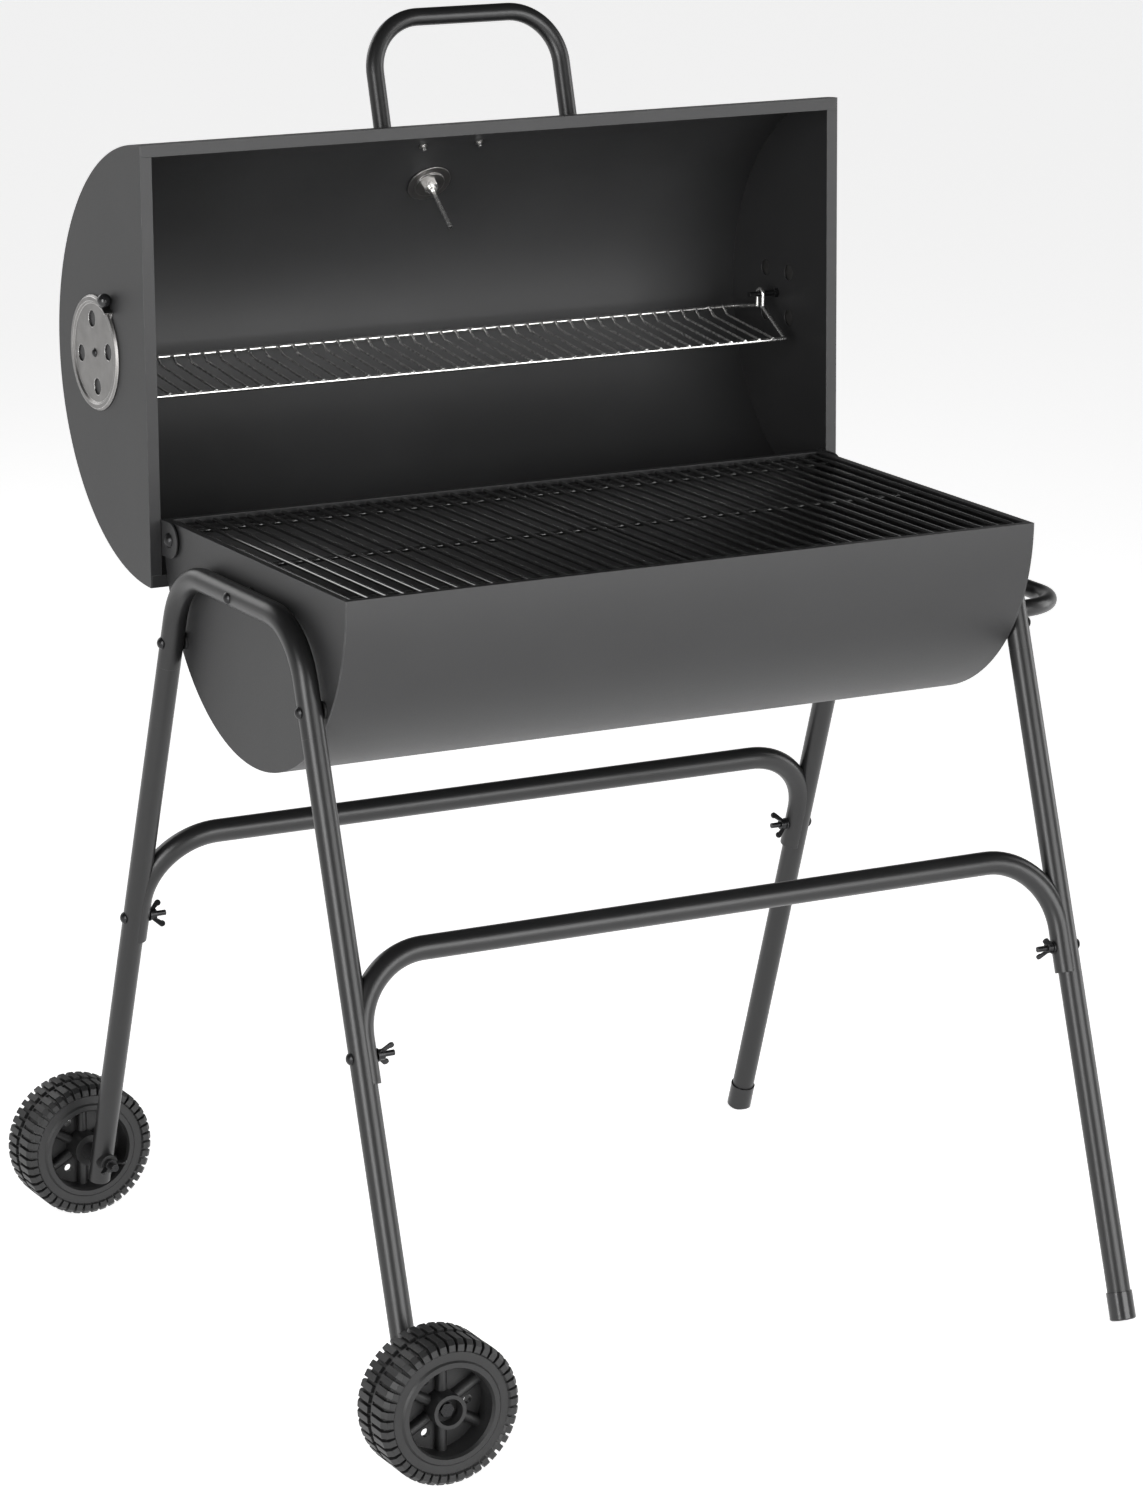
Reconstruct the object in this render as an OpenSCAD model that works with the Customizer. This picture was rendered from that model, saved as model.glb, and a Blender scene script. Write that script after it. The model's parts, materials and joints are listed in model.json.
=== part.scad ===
// Barrel charcoal grill on a wheeled tube frame, with its lid open.
// X runs along the barrel, -X is the wheel end, -Y is the front and Z is up.
// The origin is on the floor, at the middle of the whole object's footprint.

/* [Bowl] */
// Length of the bowl over its end plates
bowl_len = 800; // [790:1:810]
// Outer radius of the bowl
bowl_r = 218; // [216:0.5:219]
// Height of the bowl's rim above the floor
rim_z = 828; // [820:1:840]
// Thickness of every steel sheet
sheet = 1.5; // [1.2:0.1:1.6]
// Width of the rim folded inward around the bowl
bowl_fold = 8; // [6:0.5:9]

/* [Lid] */
// Length of the lid over its end plates
lid_len = 836; // [834:1:840]
// Outer radius of the lid
lid_r = 232; // [231:0.5:233]
// How far the centre of the lid's curve lies below its opening
lid_drop = 4; // [2:0.5:5]
// Width of the rim folded inward around the lid
lid_fold = 13; // [12:0.5:13]
// How far the closed lid's centre lies behind the bowl's centre
lid_back = 15; // [14:0.5:16]
// Gap between the closed lid's rim and the bowl's rim
lid_gap = 0.6; // [0.5:0.1:1]
// Turn of the lid from closed to open
lid_turn = 91.35; // [90:0.05:91.5]
// Distance of the hinge behind the bowl's centre
hinge_y = 194; // [193:0.5:195]
// Distance of the hinge below the bowl's rim
hinge_drop = 18; // [17.5:0.5:19]

/* [Handles] */
// Outer width of each handle
handle_w = 243; // [220:1:260]
// Reach of each handle from the sheet that it is fixed to
handle_reach = 127; // [110:1:135]
// Diameter of the handle tube
handle_d = 19; // [17:0.5:20]
// Height of the side handle above the floor
side_handle_z = 708; // [700:1:720]
// Angle of the lid handle above the closed lid's front edge
lid_handle_angle = 15; // [13:0.5:18]

/* [Frame] */
// Diameter of the frame tube
tube_d = 25; // [24:0.5:25]
// Wall of the frame tube
tube_wall = 1.2; // [1:0.1:1.4]
// Radius of every bend in the frame, at the tube's centre
bend_r = 80; // [70:1:85]
// Height of the upper frame's level run
run_z = 790; // [785:1:792]
// Height at which the lower legs join the upper frame
joint_z = 682; // [675:1:688]
// Distance of that joint from the barrel's middle plane
joint_y = 175.6; // [172:0.1:178]
// Distance of each foot from the barrel's middle plane, at the floor
foot_y = 405.8; // [395:0.1:415]
// Gap between the bowl's end plate and the frame tube
tube_gap = 2.5; // [2:0.1:3]
// Height of the level part of the braces
brace_z = 474; // [465:1:485]
// Height of the bolts through the brace ends
brace_bolt_z = 381; // [375:1:388]

/* [Wheels] */
// Diameter over the tread
wheel_d = 150; // [148:1:152]
// Width of a wheel
wheel_w = 63; // [60:1:64]
// Distance from the barrel's middle plane to a wheel's outer face
wheel_face_y = 474; // [472:1:478]
// Number of tread blocks around each shoulder
tread_blocks = 44; // [30:2:48]

/* [Grates] */
// Height of the cooking grate's cross wires
grate_z = 824; // [823.5:0.1:824]
// Pitch of the cooking grate's cross wires
grate_pitch = 20; // [19.5:0.1:20]
// Height of the charcoal grate's cross wires
coal_z = 690; // [680:1:700]
// Pitch of the warming rack's cross wires
rack_pitch = 18; // [17:0.25:18]

/* [Hidden] */

$fn = 48;
coat = [0.16, 0.16, 0.16];
tube_black = [0.1, 0.1, 0.1];
plastic_black = [0.08, 0.08, 0.08];
chrome = [0.75, 0.75, 0.74];
bolt_black = [0.06, 0.06, 0.06];

bowl_half = bowl_len / 2;
lid_half = lid_len / 2;
lid_z = rim_z + lid_gap;
hinge_z = rim_z - hinge_drop;
tube_r = tube_d / 2;
bore_r = tube_r - tube_wall;
frame_x = bowl_half + tube_gap + tube_r;
lean = atan((foot_y - joint_y) / joint_z);
wheel_r = wheel_d / 2;
wheel_y = wheel_face_y - wheel_w / 2;
barrel_x = (frame_x + wheel_r - bowl_half - handle_reach) / 2;

// Leg measures, taken along the leg's own axis from the joint down
cap_rise = 2.5;
cap_floor = 4;
cap_len = 30;
cap_r = tube_r + 1.5;
foot_s = (joint_z - cap_rise) / cos(lean);
wheel_leg_end_z = 50;
neck_len = 60;
neck_r = bore_r - 0.03;
neck_bore_r = neck_r - 1.2;

// Fasteners
m6_r = 3;
m8_r = 4;
hole_gap = 0.1;
joint_bolt_z = joint_z + 26;
joint_bolt_y = leg_y(joint_bolt_z);
ear_r = 19;
ear_gap = 0.3;
ear_x = bowl_half + 2 + ear_gap;
ear_t = 2;

// Handle measures
handle_r = handle_d / 2;
handle_bend = 58;
handle_foot = handle_w / 2 - handle_r;
handle_plug_len = 16;

// Damper measures, in the closed lid's frame
damper_up = 128;
damper_r = 61.5;
damper_hole_r = 9;
damper_ring = 36;
damper_shut = -8;
damper_gap = 0.3;
damper_t = 1.5;
damper_tip_x = 380;
knob_r = 7.5;

// Warming rack measures, from its pivot on the damper bolts
rack_x = 395;
rack_front = [-55.3, -42.5];
rack_bend = [44.1, -32.5];
rack_back = [58.1, -22.5];
rack_wire_r = 1.5;
rack_rod_r = 2.4;
loop_r = 5.75;
loop_leg = 14;

// Cooking and charcoal grate measures
grate_wire_r = 2.25;
grate_rod_r = 2.5;
weld = 0.75;
grate_gap = 0.35;
grate_half_y = bowl_r - bowl_fold - 1.5;
grate_rod_y = 180;
ledge_w = 13;
coal_half_y = 158;
coal_half_x = 376;
coal_pitch = 23.5;
coal_rod_y = 136;

thermo_angle = 50;
badge_angle = 31.6;
badge_stud_x = 34;

function leg_y(z) = foot_y - z * tan(lean);

// ---- placing ----
module on_barrel() translate([barrel_x, 0, 0]) children();

module to_each_end() {
    children();
    mirror([1, 0, 0]) children();
}

module front_and_rear() {
    children();
    mirror([0, 1, 0]) children();
}

// Swings parts drawn on the closed lid to where they stand on the open one
module on_lid() {
    on_barrel() translate([0, hinge_y, hinge_z]) rotate([-lid_turn, 0, 0])
        translate([0, lid_back - hinge_y, lid_z - hinge_z]) children();
}

// Stands +Z straight out of the lid's curve, at an angle above its front edge
module on_dome(angle) {
    translate([0, 0, -lid_drop]) rotate([90 - angle, 0, 0]) children();
}

// Puts +Z up along a leg, from the joint; side is -1 for front and 1 for rear
module on_leg(side) {
    translate([0, side * joint_y, joint_z]) rotate([side * lean, 0, 0]) children();
}

// ---- simple shapes ----
module along_x(r, x0, x1) translate([x0, 0, 0]) rotate([0, 90, 0]) cylinder(r = r, h = x1 - x0);

module along_y(r, y0, y1) translate([0, y1, 0]) rotate([90, 0, 0]) cylinder(r = r, h = y1 - y0);

// Extrudes an outline drawn in Y and Z along X
module extrude_x(x0, x1) {
    translate([x0, 0, 0]) rotate([90, 0, 90]) linear_extrude(height = x1 - x0) children();
}

module half_disc_down(r) {
    intersection() {
        circle(r, $fn = 180);
        translate([-r, -r]) square([2 * r, r]);
    }
}

// The lid's end outline: the part of a circle above the lid's opening
module lid_outline(r) {
    intersection() {
        translate([0, -lid_drop]) circle(r, $fn = 180);
        translate([-r, 0]) square([2 * r, r]);
    }
}

module rivet_head(r, h) {
    cap = (r * r + h * h) / (2 * h);
    intersection() {
        translate([0, 0, h - cap]) sphere(cap);
        cylinder(r = r, h = h);
    }
}

// Bolt with a domed head on +Z at z = 0 and its shank going down
module dome_bolt(r, len, head_r, head_h) {
    rivet_head(head_r, head_h);
    translate([0, 0, -len]) cylinder(r = r, h = len);
}

module ring(r_out, r_in, h) {
    difference() {
        cylinder(r = r_out, h = h);
        translate([0, 0, -1]) cylinder(r = r_in, h = h + 2);
    }
}

module hex_nut(r, width, h) {
    difference() {
        cylinder(d = width / cos(30), h = h, $fn = 6);
        translate([0, 0, -1]) cylinder(r = r + hole_gap, h = h + 2);
    }
}

// Wing nut with its base at z = 0 and its wings standing up
module wing_nut(r) {
    difference() {
        union() {
            cylinder(r = r + 2.6, h = 6.5);
            to_each_end() translate([0, 1, 0]) rotate([90, 0, 0]) linear_extrude(height = 2) {
                polygon([[r + 1.5, 1], [r + 2.5, 1], [r + 11, 9], [r + 8.5, 15], [r + 1.5, 6]]);
                translate([r + 8.7, 11.5]) circle(3.4);
            }
        }
        translate([0, 0, -1]) cylinder(r = r + hole_gap, h = 20);
    }
}

// ---- bowl ----
module bowl_shell() color(coat) on_barrel() translate([0, 0, rim_z])
    extrude_x(-bowl_half + sheet, bowl_half - sheet) {
    difference() {
        half_disc_down(bowl_r);
        intersection() {
            circle(bowl_r - sheet, $fn = 180);
            translate([-bowl_r, -bowl_r]) square([2 * bowl_r, bowl_r - sheet]);
        }
        translate([-bowl_r + bowl_fold, -sheet - 1]) square([2 * (bowl_r - bowl_fold), sheet + 2]);
    }
}

// End plate at +X with its folded rim
module bowl_end() {
    difference() {
        union() {
            translate([0, 0, rim_z]) extrude_x(bowl_half - sheet, bowl_half) half_disc_down(bowl_r);
            translate([bowl_half - bowl_fold, bowl_fold - bowl_r, rim_z - sheet])
                cube([bowl_fold, 2 * (bowl_r - bowl_fold), sheet]);
        }
        translate([0, 0, run_z]) along_x(m6_r + hole_gap, bowl_half - 3, bowl_half + 3);
        front_and_rear() translate([0, joint_bolt_y, joint_bolt_z])
            along_x(m6_r + hole_gap, bowl_half - 3, bowl_half + 3);
        translate([0, hinge_y, hinge_z]) along_x(m8_r + hole_gap, bowl_half - 3, bowl_half + 3);
    }
}

module bowl_end_left() color(coat) on_barrel() mirror([1, 0, 0]) bowl_end();

module bowl_end_right() color(coat) on_barrel() difference() {
    bowl_end();
    front_and_rear() translate([0, handle_foot, side_handle_z])
        along_x(m6_r + hole_gap, bowl_half - 3, bowl_half + 3);
}

// Outline of a strip on the rear wall: a level shelf with a flange down the curved wall
module ledge_outline(z, width) {
    seat_r = bowl_r - sheet - 0.05;
    top = z - rim_z;
    wall_y = sqrt(seat_r * seat_r - top * top);
    intersection() {
        circle(seat_r, $fn = 180);
        translate([wall_y - width, top - sheet]) square([width + 5, sheet]);
    }
    intersection() {
        difference() {
            circle(seat_r, $fn = 180);
            circle(seat_r - sheet, $fn = 180);
        }
        translate([0, top - ledge_drop]) square([bowl_r, ledge_drop]);
    }
}

// Strips along the front and rear walls, with their top at height z
module wall_ledges(z, width, half_len) {
    front_and_rear() translate([0, 0, rim_z]) extrude_x(-half_len, half_len)
        ledge_outline(z, width);
}

ledge_drop = 18;
cook_ledge_z = grate_z - grate_wire_r - grate_gap;
coal_ledge_z = coal_z - grate_wire_r - grate_gap;
coal_ledge_w = 24;

module cooking_grate_ledges() color(coat) on_barrel()
    wall_ledges(cook_ledge_z, ledge_w, bowl_half - 10);

module charcoal_grate_ledges() color(coat) on_barrel()
    wall_ledges(coal_ledge_z, coal_ledge_w, coal_half_x - 20);

// Rivet heads along the flange of the strips at height z
module ledge_rivet_row(z, half_len) {
    head_y = bowl_r - 2 * sheet - 0.08;
    below = asin((rim_z - z + ledge_drop / 2) / head_y);
    for (i = [0 : 3]) front_and_rear()
        translate([(i - 1.5) * half_len / 2, 0, rim_z]) rotate([-below, 0, 0])
        translate([0, head_y, 0]) rotate([90, 0, 0]) rivet_head(3.4, 1.6);
}

module ledge_rivets() color(bolt_black) on_barrel() {
    ledge_rivet_row(cook_ledge_z, bowl_half);
    ledge_rivet_row(coal_ledge_z, coal_half_x);
}

// ---- frame ----
bend_tangent = bend_r * tan((90 - lean) / 2);
run_half = leg_y(run_z) - bend_tangent;
upper_leg_len = (run_z - joint_z) / cos(lean) - bend_tangent;
hair = 0.02;
lap = 0.5;

// The inverted U of the upper frame as a solid bar of radius r, in the plane X = 0.
// Its straights are a hair thicker than its bends and lap into them.
module upper_path(r, extra) {
    translate([0, 0, run_z]) along_y(r + hair, -run_half - lap, run_half + lap);
    front_and_rear() translate([0, run_half, run_z - bend_r]) rotate([90, 0, 90])
        rotate([0, 0, lean]) rotate_extrude(angle = 90 - lean, $fn = 64)
        translate([bend_r, 0]) circle(r);
    front_and_rear() on_leg(1) translate([0, 0, -extra])
        cylinder(r = r + hair, h = upper_leg_len + extra + lap);
}

module frame_bolt_holes(x0, x1) {
    translate([0, 0, run_z]) along_x(m6_r + hole_gap, x0, x1);
    front_and_rear() translate([0, joint_bolt_y, joint_bolt_z])
        along_x(m6_r + hole_gap, x0, x1);
}

module upper_frame() {
    translate([frame_x, 0, 0]) difference() {
        upper_path(tube_r, 0);
        upper_path(bore_r, 1);
        frame_bolt_holes(-20, 20);
    }
}

module upper_frame_left() color(tube_black) on_barrel() mirror([1, 0, 0]) upper_frame();

module upper_frame_right() color(tube_black) on_barrel() upper_frame();

// Lower leg of the given length along its axis, with a reduced neck inside the upper frame
module lower_leg(side, len) {
    difference() {
        on_leg(side) difference() {
            union() {
                translate([0, 0, -len]) cylinder(r = tube_r, h = len);
                cylinder(r = neck_r, h = neck_len - 8);
            }
            translate([0, 0, -len - 1]) cylinder(r = bore_r, h = len - 7);
            translate([0, 0, -10]) cylinder(r = neck_bore_r, h = neck_len + 10);
        }
        translate([0, side * joint_bolt_y, joint_bolt_z]) along_x(m6_r + hole_gap, -20, 20);
        translate([0, side * leg_y(brace_bolt_z), brace_bolt_z])
            along_x(m6_r + hole_gap, -20, 20);
    }
}

module wheel_leg(side) {
    difference() {
        lower_leg(side, (joint_z - wheel_leg_end_z) / cos(lean));
        translate([0, side * leg_y(wheel_r), wheel_r])
            along_y(m8_r + hole_gap, -30, 30);
    }
}

module leg_front_left() color(tube_black) on_barrel() translate([-frame_x, 0, 0]) wheel_leg(-1);

module leg_rear_left() color(tube_black) on_barrel() translate([-frame_x, 0, 0]) wheel_leg(1);

module leg_front_right() color(tube_black) on_barrel() translate([frame_x, 0, 0])
    lower_leg(-1, foot_s - cap_floor);

module leg_rear_right() color(tube_black) on_barrel() translate([frame_x, 0, 0])
    lower_leg(1, foot_s - cap_floor);

module foot_caps() color(plastic_black) on_barrel() translate([frame_x, 0, 0])
    front_and_rear() difference() {
        on_leg(1) translate([0, 0, -foot_s]) difference() {
            union() {
                cylinder(r1 = cap_r - 1.2, r2 = cap_r, h = 1.2);
                translate([0, 0, 1.2]) cylinder(r = cap_r, h = cap_len - 1.2);
            }
            translate([0, 0, cap_floor]) cylinder(r = tube_r + 0.05, h = cap_len);
        }
        translate([-50, 0, -50]) cube([100, 2 * foot_y, 50]);
    }

brace_offset = 4;
brace_x = frame_x - brace_offset;
brace_s = (brace_z - brace_bolt_z) / cos(lean);
brace_drop = 126;

// Bent bar of the brace in its own plane, with straight ends going down by drop
module brace_path(r, drop) {
    along_x(r, -(brace_x - bend_r), brace_x - bend_r);
    to_each_end() {
        translate([brace_x - bend_r, 0, -bend_r]) rotate([90, 0, 0])
            rotate_extrude(angle = 90, $fn = 64) translate([bend_r, 0]) circle(r);
        translate([brace_x, 0, -drop]) cylinder(r = r, h = drop - bend_r);
    }
}

// side is -1 for front and 1 for rear; the ends are hollowed to saddle the legs
module brace(side) {
    translate([0, side * leg_y(brace_z), brace_z]) rotate([side * lean, 0, 0]) difference() {
        brace_path(tube_r, brace_drop);
        brace_path(bore_r, brace_drop + 1);
        to_each_end() translate([frame_x, 0, -brace_s - 60])
            cylinder(r = tube_r + 0.05, h = brace_s + 120);
        to_each_end() translate([0, 0, -brace_s]) along_x(m6_r + hole_gap, brace_x - 30, brace_x + 30);
    }
}

module brace_front() color(tube_black) on_barrel() brace(-1);

module brace_rear() color(tube_black) on_barrel() brace(1);

// ---- frame fasteners ----
// Puts +Z pointing inward (towards the barrel's middle) on each frame bolt of one end
module at_frame_bolts(x) {
    translate([x, 0, run_z]) rotate([0, -90, 0]) children();
    front_and_rear() translate([x, joint_bolt_y, joint_bolt_z]) rotate([0, -90, 0]) children();
}

module frame_bolts() color(bolt_black) on_barrel() to_each_end()
    at_frame_bolts(frame_x + tube_r) mirror([0, 0, 1])
        dome_bolt(m6_r, tube_d + tube_gap + sheet + 7, 6.5, 4);

module frame_spacers() color(plastic_black) on_barrel() to_each_end()
    at_frame_bolts(bowl_half + tube_gap) ring(9, m6_r + hole_gap, tube_gap);

module frame_nuts() color(bolt_black) on_barrel() to_each_end()
    at_frame_bolts(bowl_half - sheet) hex_nut(m6_r, 10, 5);

// Puts +Z pointing inward on each brace bolt of one end
module at_brace_bolts(x) {
    front_and_rear() translate([x, leg_y(brace_bolt_z), brace_bolt_z])
        rotate([0, -90, 0]) children();
}

brace_face_x = frame_x - brace_offset - tube_r;
brace_washer_t = 1.5;

module brace_bolts() color(bolt_black) on_barrel() to_each_end()
    at_brace_bolts(frame_x + tube_r) mirror([0, 0, 1])
        dome_bolt(m6_r, tube_d + brace_offset + brace_washer_t + 18, 6.5, 4);

module brace_washers() color(bolt_black) on_barrel() to_each_end()
    at_brace_bolts(brace_face_x) ring(7, m6_r + hole_gap, brace_washer_t);

module brace_wing_nuts() color(bolt_black) on_barrel() to_each_end()
    at_brace_bolts(brace_face_x - brace_washer_t) rotate([0, 0, 30]) wing_nut(m6_r);

// ---- wheels and axles ----
hub_r = 17.5;
hub_face = 27;
hub_recess = 14;
rim_r = 45;
axle_y = leg_y(wheel_r);
saddle_r = 10;
saddle_in_y = axle_y - 22;
axle_head_z = hub_face - hub_recess + 0.5;

// Half section of the wheel's ring, without its tread blocks
module wheel_section() {
    half = wheel_w / 2;
    points = [[rim_r, half - 3.5], [rim_r + 2, half], [rim_r + 7, half], [rim_r + 9, half - 2.2],
        [62, half - 2.2], [wheel_r - 4, half - 8]];
    polygon(concat([for (p = points) p], [for (i = [5 : -1 : 0]) [points[i][0], -points[i][1]]]));
    translate([wheel_r - 5, -1.2]) square([2.6, 2.4]);
}

// Outline of one row of tread blocks
module block_section() {
    half = wheel_w / 2;
    polygon([[61, half - 4], [wheel_r - 8, 4], [wheel_r, 4], [wheel_r, half - 6],
        [wheel_r - 4.5, half - 0.6], [wheel_r - 11, half]]);
}

module tread_row(turn) {
    intersection() {
        rotate_extrude($fn = 120) block_section();
        for (i = [0 : tread_blocks - 1]) rotate([0, 0, (i + turn) * 360 / tread_blocks])
            translate([40, -3.4, 0]) cube([50, 6.8, wheel_w]);
    }
}

// Wheel with its axis along Z and its outer face up
module wheel() {
    difference() {
        union() {
            rotate_extrude($fn = 120) wheel_section();
            tread_row(0);
            mirror([0, 0, 1]) tread_row(0.5);
            translate([0, 0, -3]) cylinder(r = rim_r + 1, h = 6);
            translate([0, 0, -wheel_w / 2]) cylinder(r = hub_r, h = wheel_w / 2 + hub_face);
            for (i = [0 : 5]) rotate([0, 0, 30 + 60 * i]) {
                translate([0, 0, 7]) along_x(5.5, hub_r - 3, rim_r + 1);
                translate([0, 0, -7]) along_x(5.5, hub_r - 3, rim_r + 1);
                translate([hub_r - 3, -5.5, -7]) cube([rim_r + 4 - hub_r, 11, 14]);
            }
        }
        translate([0, 0, -wheel_w]) cylinder(r = m8_r + hole_gap, h = 2 * wheel_w);
        translate([0, 0, hub_face - hub_recess]) cylinder(r = 13.5, h = hub_recess + 1);
        for (i = [0 : 2]) rotate([0, 0, 120 * i]) translate([31, 0, -10])
            cylinder(r = 4.5, h = 20);
    }
}

module wheel_front() color(plastic_black) on_barrel()
    translate([-frame_x, -wheel_y, wheel_r]) rotate([90, 0, 0]) wheel();

module wheel_rear() color(plastic_black) on_barrel()
    translate([-frame_x, wheel_y, wheel_r]) rotate([-90, 0, 0]) wheel();

module axle_bolts() color(bolt_black) on_barrel() translate([-frame_x, 0, wheel_r])
    front_and_rear() translate([0, wheel_y + axle_head_z, 0]) rotate([-90, 0, 0]) union() {
        cylinder(r = 8.5, h = 1.5);
        cylinder(d = 13 / cos(30), h = 7, $fn = 6);
        translate([0, 0, saddle_in_y - 16 - wheel_y - axle_head_z])
            cylinder(r = m8_r, h = wheel_y + axle_head_z + 16 - saddle_in_y);
    }

// Saddle spacers on both sides of each wheel leg
module axle_saddles() color(plastic_black) on_barrel() translate([-frame_x, 0, 0])
    front_and_rear() difference() {
        translate([0, 0, wheel_r]) along_y(saddle_r, saddle_in_y, wheel_y - wheel_w / 2 - 0.3);
        on_leg(1) translate([0, 0, -800]) cylinder(r = tube_r + 0.05, h = 900);
        translate([0, 0, wheel_r]) along_y(m8_r + hole_gap, saddle_in_y - 1, wheel_y);
    }

module axle_wing_nuts() color(bolt_black) on_barrel() translate([-frame_x, 0, wheel_r])
    front_and_rear() translate([0, saddle_in_y, 0]) rotate([90, 0, 0]) rotate([0, 0, 20])
    wing_nut(m8_r);

// ---- handles ----
// U handle whose feet stand at z = 0 and whose run is at z = reach
module u_handle(r, feet_z) {
    run = handle_reach - handle_r;
    translate([0, 0, run]) along_x(r, handle_bend - handle_foot, handle_foot - handle_bend);
    to_each_end() translate([handle_foot - handle_bend, 0, run - handle_bend])
        rotate([90, 0, 0]) rotate_extrude(angle = 90, $fn = 64)
        translate([handle_bend, 0]) circle(r);
    to_each_end() translate([handle_foot, 0, feet_z]) cylinder(r = r, h = run - handle_bend - feet_z);
}

module handle_plug() {
    difference() {
        cylinder(r = handle_r - 1.25, h = handle_plug_len);
        translate([0, 0, -1]) cylinder(r = m6_r + hole_gap, h = handle_plug_len + 2);
    }
}

// Puts +Z out of the right end plate and X along the handle
module at_side_handle() {
    on_barrel() translate([bowl_half, 0, side_handle_z]) rotate([0, 90, 0]) rotate([0, 0, 90])
        children();
}

module side_handle() color(tube_black) at_side_handle() difference() {
    u_handle(handle_r, 0);
    u_handle(handle_r - 1.2, -1);
}

module side_handle_plugs() color(plastic_black) at_side_handle() to_each_end()
    translate([handle_foot, 0, 0.2]) handle_plug();

module side_handle_screws() color(bolt_black) at_side_handle() to_each_end()
    translate([handle_foot, 0, -sheet]) mirror([0, 0, 1]) dome_bolt(m6_r, 16, 6, 3.6);

module lid_handle() color(tube_black) on_lid() on_dome(lid_handle_angle) difference() {
    translate([0, 0, lid_r]) u_handle(handle_r, -2);
    translate([0, 0, lid_r]) u_handle(handle_r - 1.2, -3);
    along_x(lid_r + 0.02, -handle_w, handle_w, $fn = 180);
}

module lid_handle_plugs() color(plastic_black) on_lid() on_dome(lid_handle_angle) to_each_end()
    translate([handle_foot, 0, lid_r + 0.3]) handle_plug();

screw_seat = sqrt(pow(lid_r - sheet, 2) - 36) - 0.1;

module lid_handle_screws() color(bolt_black) on_lid() on_dome(lid_handle_angle) to_each_end()
    translate([handle_foot, 0, screw_seat]) mirror([0, 0, 1]) dome_bolt(m6_r, 16, 6, 3.6);

// ---- hinge ----
module at_hinges() on_barrel() to_each_end() translate([0, hinge_y, hinge_z]) children();

module hinge_bolts() color(bolt_black) at_hinges()
    translate([ear_x + ear_t + ear_gap, 0, 0]) rotate([0, 90, 0])
        dome_bolt(m8_r, ear_x + ear_t + ear_gap - bowl_half + sheet + 8, 8, 5.5);

module hinge_washers() color(bolt_black) at_hinges() translate([bowl_half, 0, 0])
    rotate([0, 90, 0]) ring(9.5, m8_r + hole_gap, ear_x - ear_gap - bowl_half);

module hinge_nuts() color(bolt_black) at_hinges() translate([bowl_half - sheet, 0, 0])
    rotate([0, -90, 0]) hex_nut(m8_r, 13, 6.5);

// Ear on the +X end: a tab with a round end, and a foot welded behind the lid's folded rim
module hinge_ear() {
    to_pivot = [hinge_y - lid_back, hinge_z - lid_z];
    foot_top = sheet + 14;
    difference() {
        union() {
            extrude_x(ear_x, ear_x + ear_t) {
                translate(to_pivot) circle(ear_r);
                translate([to_pivot[0] - ear_r, to_pivot[1]])
                    square([2 * ear_r, foot_top - to_pivot[1]]);
            }
            translate([ear_x, to_pivot[0] - ear_r, sheet]) cube([lid_half - sheet - ear_x, 2 * ear_r, ear_t]);
        }
        translate([0, to_pivot[0], to_pivot[1]])
            along_x(m8_r + hole_gap, ear_x - 1, ear_x + ear_t + 1);
    }
}

module hinge_ear_left() color(coat) on_lid() mirror([1, 0, 0]) hinge_ear();

module hinge_ear_right() color(coat) on_lid() hinge_ear();

// ---- lid ----
module lid_shell() color(coat) on_lid() difference() {
    extrude_x(-lid_half + sheet, lid_half - sheet) difference() {
        lid_outline(lid_r);
        intersection() {
            translate([0, -lid_drop]) circle(lid_r - sheet, $fn = 180);
            translate([-lid_r, sheet]) square([2 * lid_r, lid_r]);
        }
        translate([-lid_r + lid_fold, -1]) square([2 * (lid_r - lid_fold), sheet + 2]);
    }
    on_dome(lid_handle_angle) to_each_end() translate([handle_foot, 0, lid_r - 10])
        cylinder(r = m6_r + hole_gap, h = 20);
    on_dome(thermo_angle) translate([0, 0, lid_r - 10]) cylinder(r = 5.1, h = 20);
    on_dome(badge_angle) to_each_end() translate([badge_stud_x, 0, lid_r - 10])
        cylinder(r = 2.1, h = 20);
}

// End plate at +X with its folded rim and air holes
module lid_end() {
    difference() {
        union() {
            extrude_x(lid_half - sheet, lid_half) lid_outline(lid_r);
            translate([lid_half - lid_fold, lid_fold - lid_r, 0])
                cube([lid_fold, 2 * (lid_r - lid_fold), sheet]);
        }
        at_damper() damper_holes(45);
        at_damper() translate([0, 0, -5]) cylinder(r = m6_r + hole_gap, h = 10);
    }
}

// Puts +Z out of the lid's right end, at the damper's centre
module at_damper() translate([lid_half, 0, damper_up]) rotate([0, 90, 0]) children();

module damper_holes(turn) {
    for (i = [0 : 3]) rotate([0, 0, turn + 90 * i]) translate([damper_ring, 0, -5])
        cylinder(r = damper_hole_r, h = 12);
}

module lid_end_left() color(coat) on_lid() mirror([1, 0, 0]) lid_end();

module lid_end_right() color(coat) on_lid() lid_end();

// ---- dampers ----
tab_r = 66;
tab_h = 10;
tab_w = 24;
tab_turn = 313;
rim_h = 3.4;

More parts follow.
